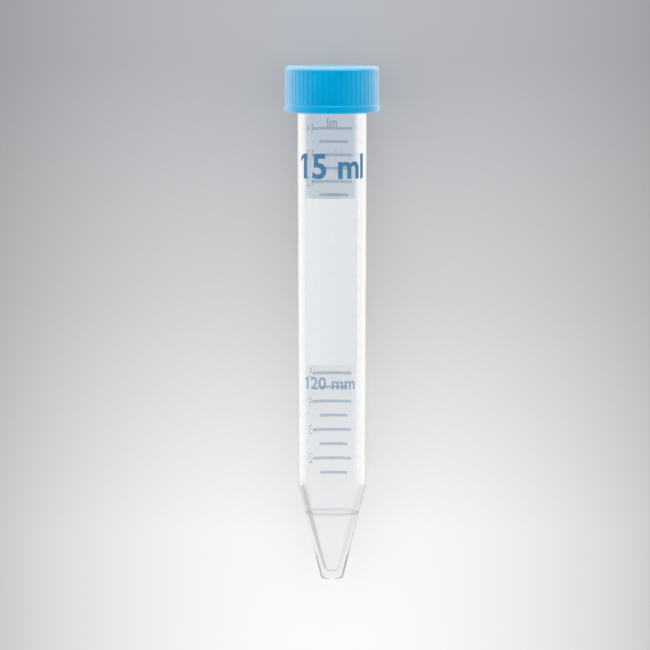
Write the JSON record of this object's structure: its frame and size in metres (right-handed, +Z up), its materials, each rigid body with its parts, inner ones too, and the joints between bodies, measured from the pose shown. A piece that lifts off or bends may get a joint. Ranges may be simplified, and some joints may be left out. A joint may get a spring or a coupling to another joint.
{
  "type": "15 ml conical centrifuge tube with screw cap",
  "caption": "Clear conical-bottomed laboratory tube lying on its side, closed by a blue ribbed screw cap that lifts off along the axis.",
  "frame": {"origin": "on the surface that the tube lies on, under the middle of its lying length", "axes": "+Y along the tube from its conical tip to its cap, +Z up from the surface towards the printed writing patch, +X across"},
  "size_m": [0.0226, 0.1208, 0.0228],
  "materials": {
    "clear_plastic": "clear moulded plastic, glossy, with grey-blue printed graduations and a white writing patch",
    "blue_plastic": "satin moulded plastic, bright cyan blue"
  },
  "bodies": {
    "tube": {"conical_tube": "clear_plastic"},
    "cap": {"screw_cap": "blue_plastic"}
  },
  "joints": [
    {"name": "cap_lift", "type": "slide", "parent": "tube", "child": "cap", "axis": [0, 0.9993, 0.0384], "range_m": [0, 0.02]}
  ]
}
